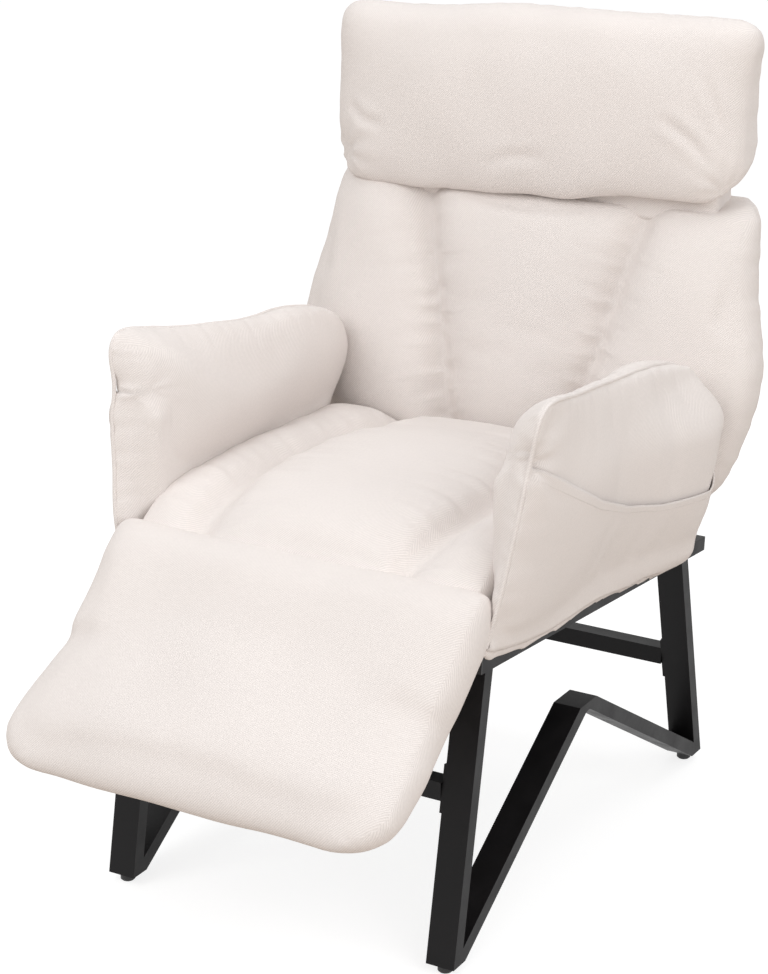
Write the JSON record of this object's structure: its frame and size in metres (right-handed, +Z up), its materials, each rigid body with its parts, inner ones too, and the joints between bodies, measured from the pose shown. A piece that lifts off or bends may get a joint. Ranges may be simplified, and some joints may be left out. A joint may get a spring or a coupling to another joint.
{
  "type": "recliner chair",
  "caption": "Padded recliner chair with tilting back, head section and footrest on ratchet hinges, over a flat-tube steel base.",
  "frame": {"origin": "on the floor below the middle of the chair's box", "axes": "+Z up, -Y to the front, +X to the sitter's left"},
  "size_m": [0.7018, 0.9911, 1.0874],
  "materials": {
    "cream_fabric": "fine twill, matte",
    "black_steel": "satin powder coat",
    "zinc_steel": "zinc plated",
    "black_plastic": "moulded, matte",
    "webbing": "elastic webbing",
    "dust_cover": "non-woven cloth"
  },
  "bodies": {
    "base": {"back_pawl_springs": "zinc_steel", "back_pawls": "zinc_steel", "back_pivot_rivets": "zinc_steel", "bracket_bolts": "black_steel", "cross_bar_brackets": "black_steel", "floor_glides": "black_plastic", "foot_pawl_springs": "zinc_steel", "foot_pawls": "zinc_steel", "foot_pivot_rivets": "zinc_steel", "front_cross_bar": "black_steel", "left_arm_frame": "black_steel", "left_arm_pad": "cream_fabric", "left_back_ratchet_housing": "zinc_steel", "left_foot_ratchet_housing": "zinc_steel", "left_front_brace": "black_steel", "left_front_post": "black_steel", "left_pocket_panel": "cream_fabric", "left_rear_brace": "black_steel", "left_rear_post": "black_steel", "left_seat_rail": "black_steel", "rail_end_caps": "black_plastic", "rear_cross_bar": "black_steel", "right_arm_frame": "black_steel", "right_arm_pad": "cream_fabric", "right_back_ratchet_housing": "zinc_steel", "right_foot_ratchet_housing": "zinc_steel", "right_front_brace": "black_steel", "right_front_post": "black_steel", "right_pocket_panel": "cream_fabric", "right_rear_brace": "black_steel", "right_rear_post": "black_steel", "right_seat_rail": "black_steel", "seat_bolts": "black_steel", "seat_cushion": "cream_fabric", "seat_frame": "black_steel", "seat_under_cover": "dust_cover", "seat_webbing": "webbing"},
    "backrest": {"back_cushion": "cream_fabric", "back_frame": "black_steel", "back_rear_pad": "cream_fabric", "back_webbing": "webbing", "head_pawl_springs": "zinc_steel", "head_pawls": "zinc_steel", "head_pivot_rivets": "zinc_steel", "left_back_ratchet_gear": "zinc_steel", "left_head_ratchet_housing": "zinc_steel", "right_back_ratchet_gear": "zinc_steel", "right_head_ratchet_housing": "zinc_steel"},
    "headrest": {"head_cushion": "cream_fabric", "head_frame": "black_steel", "head_rear_pad": "cream_fabric", "left_head_ratchet_gear": "zinc_steel", "right_head_ratchet_gear": "zinc_steel"},
    "footrest": {"foot_cushion": "cream_fabric", "foot_frame": "black_steel", "foot_under_pad": "cream_fabric", "foot_webbing": "webbing", "left_foot_ratchet_gear": "zinc_steel", "right_foot_ratchet_gear": "zinc_steel"}
  },
  "joints": [
    {"name": "back_recline", "type": "hinge", "parent": "base", "child": "backrest", "pos_m": [0, 0.3313, 0.43], "axis": [-1, 0, 0], "range_deg": [0, 65]},
    {"name": "head_tilt", "type": "hinge", "parent": "backrest", "child": "headrest", "pos_m": [0, 0.42762, 0.86445], "axis": [1, 0, 0], "range_deg": [-18, 20]},
    {"name": "foot_tilt", "type": "hinge", "parent": "base", "child": "footrest", "pos_m": [0, -0.2707, 0.4222], "axis": [-1, 0, 0], "range_deg": [-34, 36]}
  ]
}
